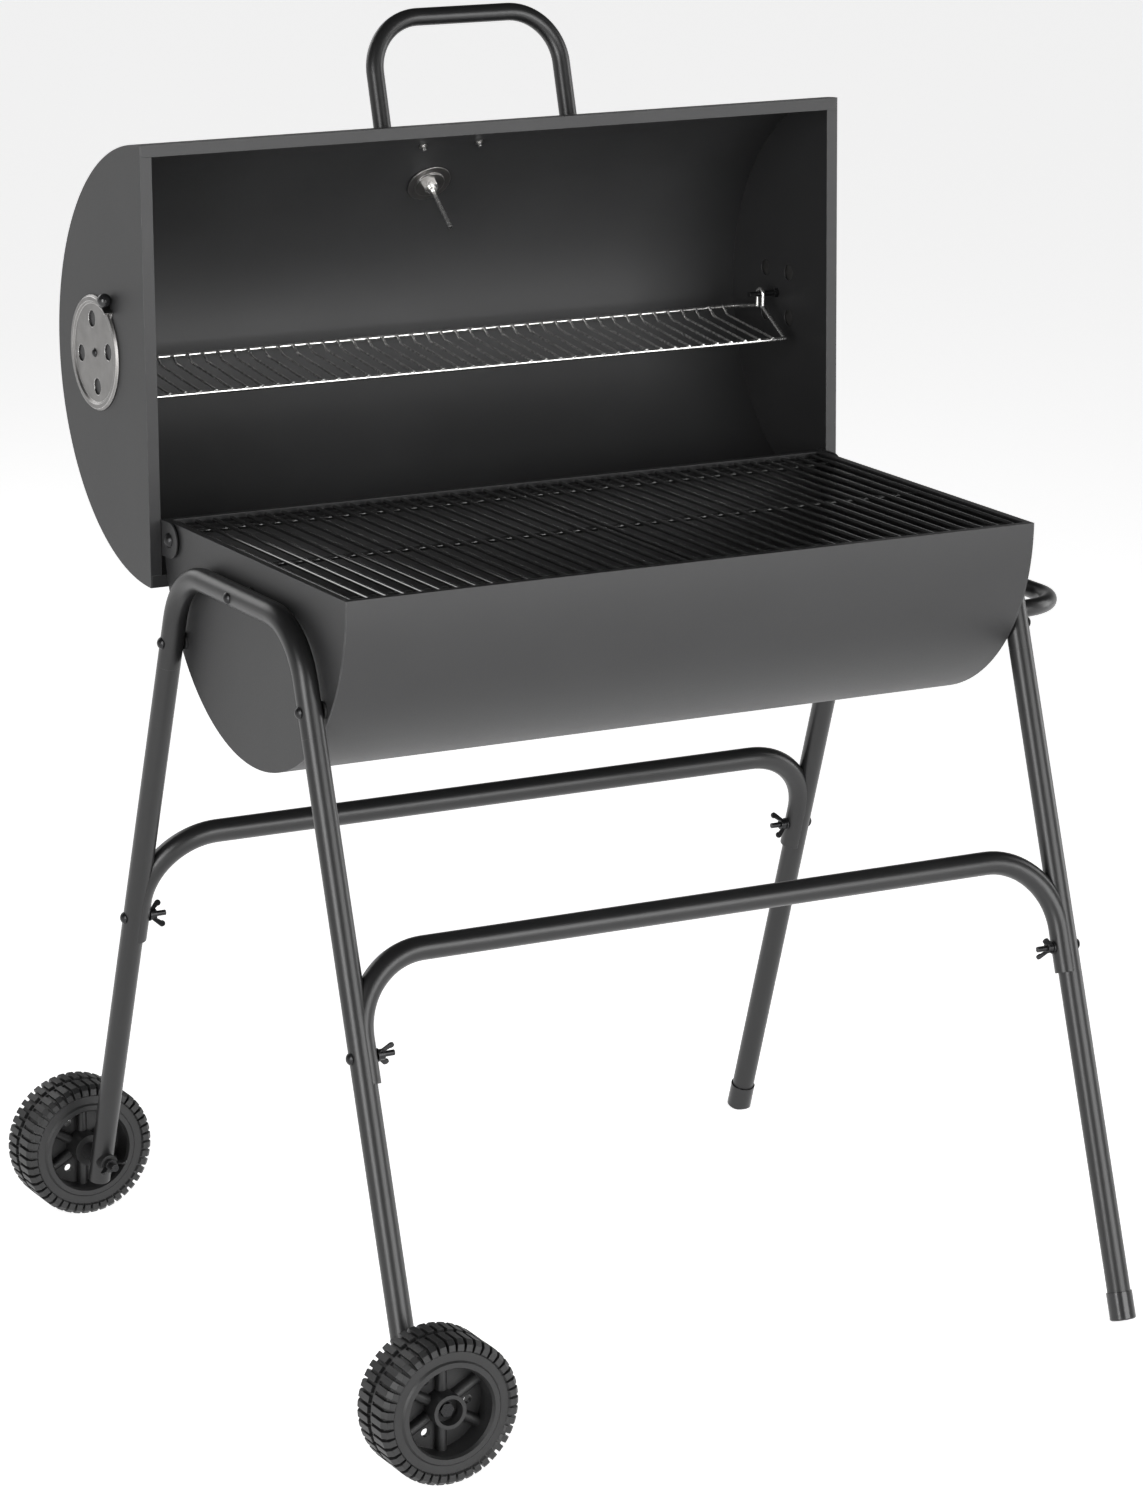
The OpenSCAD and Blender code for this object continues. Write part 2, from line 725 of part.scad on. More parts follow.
// Flat disc with a broad raised rim, four air holes and a tab bent outward
module damper_disc() {
    rotate([0, 0, damper_shut]) translate([0, 0, damper_gap]) {
        difference() {
            union() {
                rotate_extrude($fn = 96) polygon([[0, 0], [damper_r, 0], [damper_r, damper_t - 0.3],
                    [damper_r - 2, rim_h], [damper_r - 6.5, rim_h], [damper_r - 9, damper_t],
                    [0, damper_t]]);
                rotate([0, 0, tab_turn]) translate([damper_r - 4, -tab_w / 2, 0])
                    cube([tab_r - damper_r + 5.5, tab_w, damper_t - 0.4]);
                rotate([0, 0, tab_turn]) translate([tab_r, -tab_w / 2, 0])
                    cube([1.5, tab_w, tab_h]);
            }
            translate([0, 0, 1]) damper_holes(0);
            translate([0, 0, -1]) cylinder(r = m6_r + hole_gap, h = 10);
            rotate([0, 0, tab_turn]) translate([0, 0, tab_h - 2.5])
                along_x(1.3, tab_r - 2, tab_r + 3);
        }
    }
}

// Ball with a flat foot against the tab and a stem riveted through it
module damper_knob() {
    rotate([0, 0, damper_shut + tab_turn]) translate([tab_r + 1.5, 0, damper_gap + tab_h - 2.5]) {
        translate([knob_r, 0, 0]) sphere(knob_r);
        along_x(4, 0, knob_r);
        along_x(1.2, -2.3, 1);
    }
}

module damper_disc_left() color(chrome) on_lid() mirror([1, 0, 0]) at_damper() damper_disc();

module damper_knob_left() color(plastic_black) on_lid() mirror([1, 0, 0]) at_damper() damper_knob();

module damper_disc_right() color(chrome) on_lid() at_damper() damper_disc();

module damper_knob_right() color(plastic_black) on_lid() at_damper() damper_knob();

// Bolts that the discs turn on; their inner ends carry the warming rack
module damper_bolts() color(bolt_black) on_lid() to_each_end() at_damper() {
    translate([0, 0, damper_gap + damper_t + 0.2])
        dome_bolt(m6_r, damper_gap + damper_t + 0.2 + lid_half - damper_tip_x, 5, 2.8);
}

module damper_nuts() color(bolt_black) on_lid() to_each_end() at_damper()
    translate([0, 0, -sheet - 5]) hex_nut(m6_r, 10, 5);

// ---- thermometer ----
module on_thermometer() on_lid() on_dome(thermo_angle) translate([0, 0, lid_r]) children();

thermo_r = 30;
seat_in = sqrt(pow(lid_r - sheet, 2) - 625) - lid_r - 0.1;

module thermometer_case() color(chrome) on_thermometer() {
    difference() {
        union() {
            translate([0, 0, 0.5]) cylinder(r = thermo_r - 1.5, h = 12);
            translate([0, 0, 8]) cylinder(r = thermo_r, h = 5.5);
        }
        translate([0, 0, 3]) cylinder(r = thermo_r - 3.5, h = 12);
        translate([0, 0, 11.5]) cylinder(r = thermo_r - 2.5, h = 4);
    }
    translate([0, 0, -16]) cylinder(r = 5, h = 17);
    translate([0, 0, -70]) cylinder(r = 2.5, h = 55);
}

module thermometer_dial() color("white") on_thermometer() translate([0, 0, 3])
    ring(thermo_r - 3.7, 1.5, 1);

module thermometer_lens() color([0.9, 0.95, 1]) on_thermometer() translate([0, 0, 11.5])
    cylinder(r = thermo_r - 2.7, h = 1.5);

module thermometer_needle() color("red") on_thermometer() translate([0, 0, 6]) {
    cylinder(r = 3, h = 1.2);
    rotate([0, 0, 215]) translate([-6, -0.7, 0]) cube([26, 1.4, 0.8]);
    translate([0, 0, -2.9]) cylinder(r = 1.4, h = 3);
}

module thermometer_washers() color(chrome) on_thermometer() {
    translate([0, 0, seat_in - 1.4]) ring(25, 5.1, 1.4);
    translate([0, 0, seat_in - 3.6]) ring(17, 5.1, 2.2);
}

module thermometer_nut() color(chrome) on_thermometer() translate([0, 0, seat_in - 8.8])
    hex_nut(5, 15, 5.2);

// ---- blank badge ----
module badge_plate() color(chrome) on_lid() {
    intersection() {
        extrude_x(-50, 50) difference() {
            translate([0, -lid_drop]) circle(lid_r + 1.4, $fn = 180);
            translate([0, -lid_drop]) circle(lid_r + 0.2, $fn = 180);
        }
        on_dome(badge_angle) translate([-50, -15, lid_r - 10]) cube([100, 30, 20]);
    }
    on_dome(badge_angle) to_each_end() translate([badge_stud_x, 0, lid_r - 8])
        cylinder(r = 2, h = 8.8);
}

module badge_nuts() color(chrome) on_lid() on_dome(badge_angle) to_each_end()
    translate([badge_stud_x, 0, lid_r - sheet - 2.2]) ring(4.5, 2.1, 2);

// ---- warming rack ----
// Bar from one [y, z] point to another, at X = 0
module bar_yz(from, to, r) {
    d = to - from;
    translate([0, from[0], from[1]]) rotate([-atan2(d[0], d[1]), 0, 0]) cylinder(r = r, h = norm(d));
}

rack_wire_in = [0, rack_rod_r + rack_wire_r - weld];
rack_count = floor(2 * (rack_x - 10) / rack_pitch);

// Wire that starts over the front rod, rises to the bend and turns up to the back rod
module rack_cross_wire() {
    from = rack_front + rack_wire_in - [4, 1];
    bend = rack_bend + rack_wire_in;
    to = rack_back + [-rack_wire_r - rack_rod_r + weld, 2];
    bar_yz(from, bend + [0.5, 0.1], rack_wire_r);
    bar_yz(bend - [0.4, 0.3], to, rack_wire_r - 0.1);
}

// Narrow loop over the damper bolt, with a wire from each leg to the front and back rods
module rack_side_arm() {
    rotate([90, 0, 90]) rotate_extrude(angle = 180) translate([loop_r, 0]) circle(rack_rod_r - 0.2);
    for (arm = [[-loop_r, rack_front], [loop_r, rack_back]]) {
        translate([0, arm[0], -loop_leg]) cylinder(r = rack_rod_r - 0.2, h = loop_leg);
        translate([0, arm[0], -loop_leg]) sphere(rack_rod_r + 0.2);
        bar_yz([arm[0], -loop_leg], arm[1], rack_rod_r - 0.1);
        translate([0, arm[1][0], arm[1][1]]) sphere(rack_rod_r + 0.1);
    }
}

// Drawn hanging level from its pivot, where that stands on the open lid
module warming_rack() color(chrome) on_barrel() translate([0, rack_pivot[0], rack_pivot[1]]) {
    translate([0, rack_front[0], rack_front[1]]) along_x(rack_rod_r, -rack_x, rack_x);
    translate([0, rack_back[0], rack_back[1]]) along_x(rack_rod_r, -rack_x, rack_x);
    to_each_end() translate([rack_x, 0, 0]) rack_side_arm();
    for (i = [0 : rack_count]) translate([(i - rack_count / 2) * rack_pitch, 0, 0])
        rack_cross_wire();
}

rack_arm = [lid_back - hinge_y, lid_z + damper_up - hinge_z];
rack_pivot = [hinge_y + rack_arm[0] * cos(lid_turn) + rack_arm[1] * sin(lid_turn),
    hinge_z - rack_arm[0] * sin(lid_turn) + rack_arm[1] * cos(lid_turn)];

// ---- grates ----
// Wires along Y welded on top of rods along X; the first wire stands at x0
module wire_grate(x0, count, pitch, half_y, rod_y, z) {
    for (i = [0 : count - 1]) translate([x0 + i * pitch, 0, z])
        along_y(grate_wire_r, -half_y, half_y);
    for (y = [-rod_y, 0, rod_y]) translate([0, y, z - grate_wire_r - grate_rod_r + weld])
        along_x(grate_rod_r, x0 - 4, x0 + (count - 1) * pitch + 4);
}

cook_x = 6;
cook_count = 20;
coal_count = floor(2 * coal_half_x / coal_pitch) + 1;

module cooking_grate() wire_grate(cook_x, cook_count, grate_pitch, grate_half_y, grate_rod_y, grate_z);

module cooking_grate_right() color(bolt_black) on_barrel() cooking_grate();

module cooking_grate_left() color(bolt_black) on_barrel() mirror([1, 0, 0]) cooking_grate();

module charcoal_grate() color(bolt_black) on_barrel()
    wire_grate(-coal_half_x, coal_count, coal_pitch, coal_half_y, coal_rod_y, coal_z);

bowl_shell();
bowl_end_left();
bowl_end_right();
cooking_grate_ledges();
charcoal_grate_ledges();
ledge_rivets();
upper_frame_left();
upper_frame_right();
leg_front_left();
leg_rear_left();
leg_front_right();
leg_rear_right();
brace_front();
brace_rear();
foot_caps();
frame_bolts();
frame_spacers();
frame_nuts();
brace_bolts();
brace_washers();
brace_wing_nuts();
axle_bolts();
axle_saddles();
axle_wing_nuts();
side_handle();
side_handle_plugs();
side_handle_screws();
hinge_bolts();
hinge_washers();
hinge_nuts();
lid_shell();
lid_end_left();
lid_end_right();
hinge_ear_left();
hinge_ear_right();
lid_handle();
lid_handle_plugs();
lid_handle_screws();
thermometer_case();
thermometer_dial();
thermometer_lens();
thermometer_needle();
thermometer_washers();
thermometer_nut();
badge_plate();
badge_nuts();
damper_bolts();
damper_nuts();
damper_disc_left();
damper_knob_left();
damper_disc_right();
damper_knob_right();
warming_rack();
wheel_front();
wheel_rear();
cooking_grate_left();
cooking_grate_right();
charcoal_grate();
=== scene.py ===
"""Looks, light and camera for the barrel charcoal grill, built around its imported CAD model."""

import json
import math

import bmesh
import bpy
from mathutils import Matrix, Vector


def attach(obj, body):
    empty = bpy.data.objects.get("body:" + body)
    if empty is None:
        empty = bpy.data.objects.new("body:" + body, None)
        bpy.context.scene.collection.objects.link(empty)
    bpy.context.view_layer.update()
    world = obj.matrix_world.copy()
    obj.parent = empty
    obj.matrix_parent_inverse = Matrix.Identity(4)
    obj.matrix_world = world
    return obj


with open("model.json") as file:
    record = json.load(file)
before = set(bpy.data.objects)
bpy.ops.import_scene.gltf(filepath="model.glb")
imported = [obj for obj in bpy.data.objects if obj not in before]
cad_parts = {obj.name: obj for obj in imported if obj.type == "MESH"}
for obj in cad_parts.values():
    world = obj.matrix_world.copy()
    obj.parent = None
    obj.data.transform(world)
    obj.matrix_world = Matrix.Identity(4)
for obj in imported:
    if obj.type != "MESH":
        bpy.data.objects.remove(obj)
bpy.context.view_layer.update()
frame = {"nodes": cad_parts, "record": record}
nodes = frame["nodes"]


scene = bpy.context.scene

# The lid's measures, in metres, as the CAD model has them
BARREL_X = -0.0185
PIVOT_Y, PIVOT_Z = 0.194, 0.810
LID_TURN = math.radians(91.35)
LID_BACK, LID_Z, LID_DROP, LID_R = 0.015, 0.8286, 0.004, 0.232

# The thermometer's dial: its place around the lid, its height over the sheet and its marks
THERMO_ANGLE = math.radians(50.0)
DIAL_TOP = 0.00405
DIAL_SWEEP = 270.0
TICKS = 41
TICKS_PER_LONG = 5
TICK_OUTER = 0.0235
LONG_INNER, LONG_HALF_WIDTH = 0.0185, 0.0005
SHORT_INNER, SHORT_HALF_WIDTH = 0.0208, 0.00025
INK_HEIGHT = 0.00012

# Studio, in metres, watts and degrees
FLOOR_HALF = 14.0
FLOOR_GLOW = 0.78
HORIZON_TOP, SKY_START = 0.12, 0.34
HORIZON_LIGHT, SKY_LIGHT = 0.8, 0.05
LIGHTS = (
    # name, place, target, width, height, power
    ("key_left", (-3.4, -2.2, 1.5), (-0.1, 0.0, 0.7), 1.6, 2.6, 105.0),
    ("key_front", (1.2, -4.4, 1.3), (0.0, 0.0, 0.8), 3.2, 2.2, 125.0),
    ("rim_right", (3.4, -0.6, 1.4), (0.0, 0.0, 0.8), 1.2, 2.4, 36.0),
    ("back_soft", (-1.2, 3.6, 2.4), (0.0, 0.0, 0.8), 2.4, 1.6, 30.0),
)
CAMERA_PLACE = (-2.5905, -4.7068, 1.9772)
CAMERA_TURN = (75.40164, -0.21220, -28.30599)
CAMERA_LENS, CAMERA_SENSOR = 125.75, 36.0
CAMERA_NEAR, CAMERA_FAR = 0.5, 60.0

# Materials: the span that most noise values fall in, how a rounded edge is found,
# and the sockets of the colour mix node
NOISE_LOW, NOISE_HIGH = 0.3, 0.7
BEVEL_SAMPLES = 4
SHARP_EDGE = 0.93
MIX_A, MIX_B, MIX_RESULT = 6, 7, 2

# Pieces whose look isn't the usual one of their material slot
GLOSS_NODES = ("foot_caps", "damper_knob_left", "damper_knob_right")
SATIN_NODES = ("damper_disc_left", "damper_disc_right", "thermometer_washers", "badge_nuts")


def opened(x, y, z):
    """Where a point drawn on the closed lid (from the lid's centre) stands on the open lid."""
    a, b = y + LID_BACK - PIVOT_Y, z + LID_Z - PIVOT_Z
    return Vector((
        BARREL_X + x,
        PIVOT_Y + a * math.cos(LID_TURN) + b * math.sin(LID_TURN),
        PIVOT_Z - a * math.sin(LID_TURN) + b * math.cos(LID_TURN),
    ))


# ---- node helpers ----
class Graph:
    """Short hand for building one material's nodes."""

    def __init__(self, name):
        self.mat = bpy.data.materials.new(name)
        self.mat.use_nodes = True
        self.tree = self.mat.node_tree
        self.tree.nodes.clear()
        self.out = self.add("ShaderNodeOutputMaterial")
        self.coord = self.add("ShaderNodeTexCoord").outputs["Object"]

    def add(self, kind, **values):
        node = self.tree.nodes.new(kind)
        for key, value in values.items():
            setattr(node, key, value)
        return node

    def link(self, a, b):
        self.tree.links.new(a, b)

    def shader(self, **values):
        node = self.add("ShaderNodeBsdfPrincipled")
        for key, value in values.items():
            node.inputs[key.replace("_", " ")].default_value = value
        self.link(node.outputs["BSDF"], self.out.inputs["Surface"])
        self.bsdf = node

    def noise(self, scale, detail=4.0, roughness=0.5, stretch=None):
        node = self.add("ShaderNodeTexNoise")
        node.inputs["Scale"].default_value = scale
        node.inputs["Detail"].default_value = detail
        node.inputs["Roughness"].default_value = roughness
        if stretch is None:
            self.link(self.coord, node.inputs["Vector"])
        else:
            mapping = self.add("ShaderNodeMapping")
            mapping.inputs["Scale"].default_value = stretch
            self.link(self.coord, mapping.inputs["Vector"])
            self.link(mapping.outputs["Vector"], node.inputs["Vector"])
        return node.outputs["Fac"]

    def remap(self, value, low, high, to_low, to_high):
        node = self.add("ShaderNodeMapRange")
        node.inputs["From Min"].default_value = low
        node.inputs["From Max"].default_value = high
        node.inputs["To Min"].default_value = to_low
        node.inputs["To Max"].default_value = to_high
        self.link(value, node.inputs["Value"])
        return node.outputs["Result"]

    def spread(self, noise, low, high):
        """A noise value spread over the whole of low to high."""
        return self.remap(noise, NOISE_LOW, NOISE_HIGH, low, high)

    def math(self, kind, a, b):
        node = self.add("ShaderNodeMath", operation=kind)
        for socket, value in zip(node.inputs, (a, b)):
            if isinstance(value, (int, float)):
                socket.default_value = value
            else:
                self.link(value, socket)
        return node.outputs["Value"]

    def mix(self, factor, a, b):
        node = self.add("ShaderNodeMix", data_type="RGBA")
        self.link(factor, node.inputs["Factor"])
        for socket, value in ((node.inputs[MIX_A], a), (node.inputs[MIX_B], b)):
            if isinstance(value, tuple):
                socket.default_value = (*value, 1.0)
            else:
                self.link(value, socket)
        return node.outputs[MIX_RESULT]

    def bump(self, height, strength, distance, normal=None):
        node = self.add("ShaderNodeBump")
        node.inputs["Strength"].default_value = strength
        node.inputs["Distance"].default_value = distance
        self.link(height, node.inputs["Height"])
        if normal is not None:
            self.link(normal, node.inputs["Normal"])
        return node.outputs["Normal"]

    def round_edges(self, radius):
        node = self.add("ShaderNodeBevel", samples=BEVEL_SAMPLES)
        node.inputs["Radius"].default_value = radius
        return node.outputs["Normal"]

    def edge_mask(self, rounded):
        """0 on open faces, rising to 1 on sharp edges."""
        geometry = self.add("ShaderNodeNewGeometry")
        dot = self.add("ShaderNodeVectorMath", operation="DOT_PRODUCT")
        self.link(rounded, dot.inputs[0])
        self.link(geometry.outputs["Normal"], dot.inputs[1])
        return self.remap(dot.outputs["Value"], 1.0, SHARP_EDGE, 0.0, 1.0)


def powder_coat():
    """Matte charcoal powder coat: fine orange peel, faint mottling, slightly worn edges whose
    lightening is also a painted highlight.
    """
    g = Graph("powder_coat")
    g.shader(Metallic=0.0, Specular_IOR_Level=0.5)
    rounded = g.round_edges(0.0009)
    fine = g.noise(1500.0, 3.0, 0.6)
    peel = g.noise(420.0, 2.0, 0.5)
    cloud = g.noise(7.0, 4.0, 0.55)
    speck = g.noise(2600.0, 1.0, 0.5)
    base = g.mix(g.spread(cloud, 0.0, 1.0), (0.017, 0.017, 0.0176), (0.021, 0.021, 0.0216))
    base = g.mix(g.remap(speck, 0.66, 0.78, 0.0, 0.35), base, (0.055, 0.055, 0.056))
    # Lighter edges: partly edge wear, partly a painted highlight standing in for light caught on
    # rims and flanges
    wear_and_painted_highlight = g.math("MULTIPLY", g.edge_mask(rounded), g.remap(g.noise(60.0), 0.42, 0.62, 0.25, 0.8))
    g.link(g.mix(wear_and_painted_highlight, base, (0.09, 0.09, 0.092)), g.bsdf.inputs["Base Color"])
    rough = g.spread(fine, 0.46, 0.56)
    rough = g.math("ADD", rough, g.spread(cloud, -0.02, 0.03))
    g.link(g.math("SUBTRACT", rough, g.math("MULTIPLY", wear_and_painted_highlight, 0.14)), g.bsdf.inputs["Roughness"])
    normal = g.bump(peel, 0.16, 0.0003, rounded)
    g.link(g.bump(fine, 0.22, 0.0001, normal), g.bsdf.inputs["Normal"])
    return g.mat


def tube_paint():
    """Satin black paint on tube: a soft sheen with slow waves along the tube."""
    g = Graph("tube_paint")
    g.shader(Metallic=0.0, Specular_IOR_Level=0.5)
    rounded = g.round_edges(0.0006)
    fine = g.noise(1300.0, 3.0, 0.6)
    wave = g.noise(90.0, 2.0, 0.5)
    cloud = g.noise(9.0, 3.0, 0.5)
    base = g.mix(g.spread(cloud, 0.0, 1.0), (0.0075, 0.0075, 0.0078), (0.0105, 0.0105, 0.0108))
    # Lighter edges: partly edge wear, partly a painted highlight on every edge
    wear_and_painted_highlight = g.math("MULTIPLY", g.edge_mask(rounded), 0.5)
    g.link(g.mix(wear_and_painted_highlight, base, (0.05, 0.05, 0.05)), g.bsdf.inputs["Base Color"])
    g.link(g.spread(fine, 0.3, 0.39), g.bsdf.inputs["Roughness"])
    normal = g.bump(wave, 0.12, 0.0004, rounded)
    g.link(g.bump(fine, 0.14, 0.0001, normal), g.bsdf.inputs["Normal"])
    return g.mat


def chrome_plate():
    """Bright plated steel with a faint grain and fine scratches."""
    g = Graph("chrome_plate")
    g.shader(Metallic=1.0)
    rounded = g.round_edges(0.0005)
    cloud = g.noise(40.0, 4.0, 0.55)
    scratch = g.noise(140.0, 5.0, 0.7, (1.0, 14.0, 1.0))
    base = g.mix(g.spread(cloud, 0.0, 1.0), (0.82, 0.815, 0.8), (0.9, 0.895, 0.88))
    g.link(base, g.bsdf.inputs["Base Color"])
    g.link(g.remap(scratch, 0.35, 0.7, 0.2, 0.32), g.bsdf.inputs["Roughness"])
    g.link(g.bump(scratch, 0.06, 0.0002, rounded), g.bsdf.inputs["Normal"])
    return g.mat


def satin_steel():
    """Zinc-plated sheet: grey and satin, with a fine rolled grain and a painted highlight that
    lightens its edges.
    """
    g = Graph("satin_steel")
    g.shader(Metallic=1.0)
    rounded = g.round_edges(0.0008)
    cloud = g.noise(55.0, 4.0, 0.55)
    grain = g.noise(220.0, 5.0, 0.7, (1.0, 1.0, 10.0))
    base = g.mix(g.spread(cloud, 0.0, 1.0), (0.2, 0.195, 0.19), (0.25, 0.244, 0.238))
    # Edges mixed towards near-white (0.8): a painted highlight for the bright rim that catches
    # the light
    g.link(g.mix(g.edge_mask(rounded), base, (0.8, 0.79, 0.78)), g.bsdf.inputs["Base Color"])
    g.link(g.remap(grain, 0.35, 0.7, 0.3, 0.42), g.bsdf.inputs["Roughness"])
    g.link(g.bump(grain, 0.08, 0.0002, rounded), g.bsdf.inputs["Normal"])
    return g.mat


def moulded_plastic(name, tone, rough_low, rough_high, grain):
    """Black moulded plastic with a fine spark-eroded grain."""
    g = Graph(name)
    g.shader(Metallic=0.0, Specular_IOR_Level=0.5)
    rounded = g.round_edges(0.0007)
    fine = g.noise(grain, 3.0, 0.6)
    cloud = g.noise(25.0, 3.0, 0.5)
    light = tuple(v * 1.5 for v in tone)
    g.link(g.mix(g.spread(cloud, 0.0, 1.0), tone, light), g.bsdf.inputs["Base Color"])
    g.link(g.spread(fine, rough_low, rough_high), g.bsdf.inputs["Roughness"])
    g.link(g.bump(fine, 0.2, 0.00015, rounded), g.bsdf.inputs["Normal"])
    return g.mat


def black_oxide():
    """Black plated fasteners, a little brighter on their edges."""
    g = Graph("black_oxide")
    g.shader(Metallic=0.6, Specular_IOR_Level=0.5)
    rounded = g.round_edges(0.0004)
    fine = g.noise(900.0, 3.0, 0.6)
    edge = g.edge_mask(rounded)
    g.link(g.mix(edge, (0.02, 0.02, 0.021), (0.09, 0.09, 0.09)), g.bsdf.inputs["Base Color"])
    g.link(g.spread(fine, 0.24, 0.36), g.bsdf.inputs["Roughness"])
    g.link(g.bump(fine, 0.15, 0.0001, rounded), g.bsdf.inputs["Normal"])
    return g.mat


def grate_enamel():
    """Dark glossy enamel on wire, with the slightly uneven skin of a dipped coat."""
    g = Graph("grate_enamel")
    g.shader(
        Metallic=0.0,
        Specular_IOR_Level=0.8,
        Coat_Weight=0.7,
        Coat_Roughness=0.1,
        Coat_IOR=1.7,
    )
    fine = g.noise(500.0, 3.0, 0.6)
    run = g.noise(160.0, 3.0, 0.55)
    base = g.mix(g.spread(run, 0.0, 1.0), (0.014, 0.014, 0.014), (0.026, 0.026, 0.026))
    g.link(base, g.bsdf.inputs["Base Color"])
    g.link(g.spread(run, 0.16, 0.26), g.bsdf.inputs["Roughness"])
    skin = g.math("ADD", g.math("MULTIPLY", run, 0.7), g.math("MULTIPLY", fine, 0.3))
    g.link(g.bump(skin, 0.1, 0.0002), g.bsdf.inputs["Normal"])
    return g.mat


def plain_paint(name, low, high, rough):
    """Printed or painted small part with a faint tooth."""
    g = Graph(name)
    g.shader(Metallic=0.0, Specular_IOR_Level=0.4)
    fine = g.noise(700.0, 3.0, 0.6)
    g.link(g.mix(g.spread(fine, 0.0, 1.0), low, high), g.bsdf.inputs["Base Color"])
    g.link(g.spread(fine, rough, rough + 0.1), g.bsdf.inputs["Roughness"])
    g.link(g.bump(fine, 0.1, 0.00005), g.bsdf.inputs["Normal"])
    return g.mat


def lens_glass():
    """Clear lens over the dial, with a trace of haze."""
    g = Graph("lens_glass")
    g.shader(Base_Color=(0.97, 0.98, 1.0, 1.0), Metallic=0.0, Transmission_Weight=1.0, IOR=1.49)
    fine = g.noise(300.0, 2.0, 0.5)
    g.link(g.spread(fine, 0.01, 0.035), g.bsdf.inputs["Roughness"])
    return g.mat


MATS = {
    "sheet_coat": powder_coat(),
    "tube_paint": tube_paint(),
    "chrome_plate": chrome_plate(),
    "black_plastic": moulded_plastic("wheel_plastic", (0.008, 0.008, 0.0082), 0.42, 0.56, 1600.0),
    "black_fastener": black_oxide(),
    "grate_wire": grate_enamel(),
    "dial_face": plain_paint("dial_face", (0.78, 0.78, 0.76), (0.84, 0.84, 0.82), 0.4),
    "needle_red": plain_paint("needle_red", (0.42, 0.012, 0.01), (0.5, 0.02, 0.015), 0.35),
    "lens_glass": lens_glass(),
}
satin = satin_steel()
gloss_plastic = moulded_plastic("gloss_plastic", (0.009, 0.009, 0.0095), 0.16, 0.24, 700.0)
dial_ink = plain_paint("dial_ink", (0.02, 0.02, 0.02), (0.03, 0.03, 0.03), 0.45)

for row in frame["record"]["subparts"]:
    node = nodes[row["node"]]
    node.data.materials.clear()
    look = MATS[row["material_slot"]]
    if row["node"] in GLOSS_NODES:
        look = gloss_plastic
    if row["node"] in SATIN_NODES:
        look = satin
    node.data.materials.append(look)


def dial_ticks():
    """Printed scale on the thermometer's dial: a ring of short and long marks."""
    out = Vector((0.0, -math.cos(THERMO_ANGLE), math.sin(THERMO_ANGLE)))
    up = Vector((0.0, math.sin(THERMO_ANGLE), math.cos(THERMO_ANGLE)))
    side = Vector((1.0, 0.0, 0.0))
    centre = Vector((0.0, 0.0, -LID_DROP)) + out * (LID_R + DIAL_TOP)
    build = bmesh.new()
    for step in range(TICKS):
        turn = math.radians(DIAL_SWEEP * (step / (TICKS - 1) - 0.5))
        ray = up * math.cos(turn) + side * math.sin(turn)
        across = up * -math.sin(turn) + side * math.cos(turn)
        long_mark = step % TICKS_PER_LONG == 0
        inner = LONG_INNER if long_mark else SHORT_INNER
        half = LONG_HALF_WIDTH if long_mark else SHORT_HALF_WIDTH
        corners = []
        for reach, sign in ((inner, -1), (TICK_OUTER, -1), (TICK_OUTER, 1), (inner, 1)):
            for rise in (0.0, INK_HEIGHT):
                p = centre + ray * reach + across * (half * sign) + out * rise
                corners.append(build.verts.new(opened(p.x, p.y, p.z)))
        low, high = corners[0::2], corners[1::2]
        build.faces.new(high)
        build.faces.new(low[::-1])
        for i in range(4):
            j = (i + 1) % 4
            build.faces.new((low[i], low[j], high[j], high[i]))
    bmesh.ops.recalc_face_normals(build, faces=build.faces)
    mesh = bpy.data.meshes.new("dial_scale")
    build.to_mesh(mesh)
    build.free()
    piece = bpy.data.objects.new("dial_scale", mesh)
    scene.collection.objects.link(piece)
    mesh.materials.append(dial_ink)
    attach(piece, "lid")


dial_ticks()


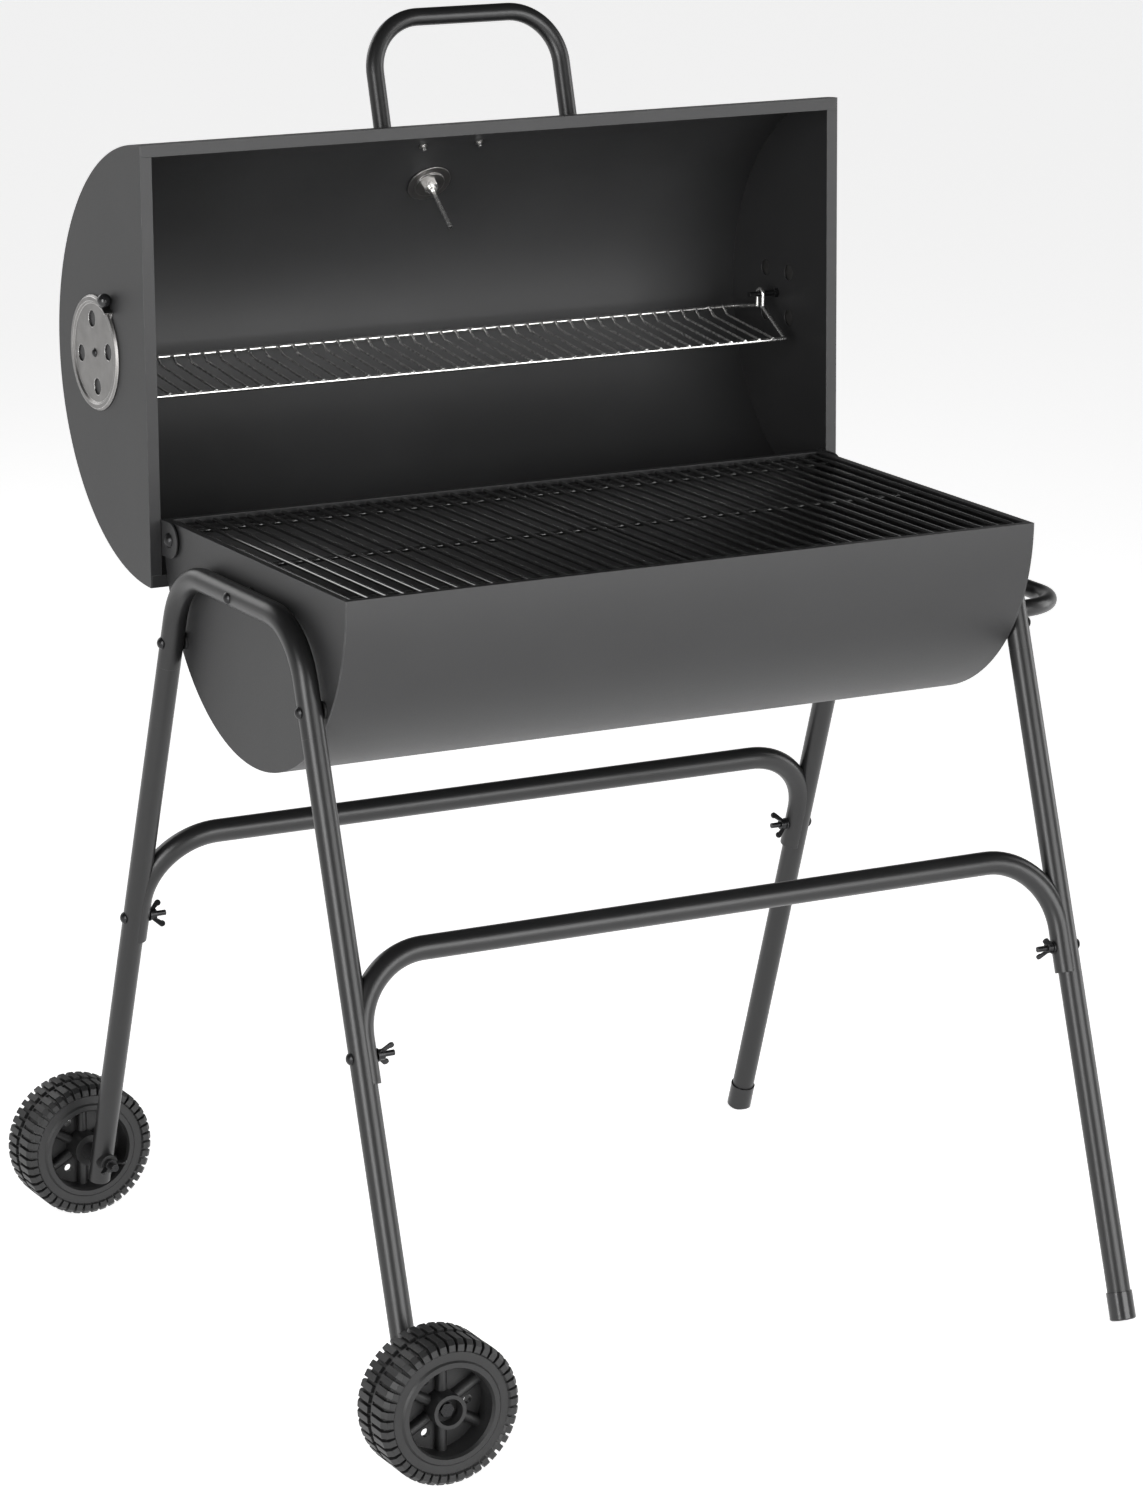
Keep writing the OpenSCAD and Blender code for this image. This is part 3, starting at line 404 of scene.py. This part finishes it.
# ---- floor, light and camera ----
def backdrop():
    """World that is pale around the horizon and dim overhead."""
    world = bpy.data.worlds.new("studio")
    scene.world = world
    world.use_nodes = True
    tree = world.node_tree
    background = tree.nodes["Background"]
    background.inputs["Color"].default_value = (1.0, 1.0, 1.0, 1.0)
    direction = tree.nodes.new("ShaderNodeTexCoord")
    height = tree.nodes.new("ShaderNodeSeparateXYZ")
    fade = tree.nodes.new("ShaderNodeMapRange")
    fade.interpolation_type = "SMOOTHSTEP"
    fade.inputs["From Min"].default_value = HORIZON_TOP
    fade.inputs["From Max"].default_value = SKY_START
    fade.inputs["To Min"].default_value = HORIZON_LIGHT
    fade.inputs["To Max"].default_value = SKY_LIGHT
    tree.links.new(direction.outputs["Generated"], height.inputs["Vector"])
    tree.links.new(height.outputs["Z"], fade.inputs["Value"])
    tree.links.new(fade.outputs["Result"], background.inputs["Strength"])


def paper_floor():
    """Plain white floor with a little glow of its own, so that its shadows stay soft."""
    mesh = bpy.data.meshes.new("floor")
    build = bmesh.new()
    signs = ((-1, -1), (1, -1), (1, 1), (-1, 1))
    build.faces.new([build.verts.new((x * FLOOR_HALF, y * FLOOR_HALF, 0)) for x, y in signs])
    build.to_mesh(mesh)
    build.free()
    floor = bpy.data.objects.new("floor", mesh)
    scene.collection.objects.link(floor)
    g = Graph("floor_paper")
    g.shader(
        Base_Color=(0.9, 0.9, 0.9, 1.0),
        Metallic=0.0,
        Specular_IOR_Level=0.1,
        Emission_Color=(1.0, 1.0, 1.0, 1.0),
        Emission_Strength=FLOOR_GLOW,
    )
    g.link(g.spread(g.noise(40.0), 0.75, 0.85), g.bsdf.inputs["Roughness"])
    floor.data.materials.append(g.mat)


def area_light(name, place, target, width, height, power):
    data = bpy.data.lights.new(name, "AREA")
    data.shape = "RECTANGLE"
    data.size, data.size_y, data.energy = width, height, power
    lamp = bpy.data.objects.new(name, data)
    scene.collection.objects.link(lamp)
    lamp.location = place
    lamp.rotation_euler = (Vector(target) - Vector(place)).to_track_quat("-Z", "Y").to_euler()


def front_camera():
    data = bpy.data.cameras.new("camera")
    data.lens, data.sensor_width = CAMERA_LENS, CAMERA_SENSOR
    data.clip_start, data.clip_end = CAMERA_NEAR, CAMERA_FAR
    camera = bpy.data.objects.new("camera", data)
    scene.collection.objects.link(camera)
    camera.location = CAMERA_PLACE
    camera.rotation_euler = [math.radians(angle) for angle in CAMERA_TURN]
    scene.camera = camera


backdrop()
paper_floor()
for light in LIGHTS:
    area_light(*light)
front_camera()
scene.view_settings.view_transform = "Standard"
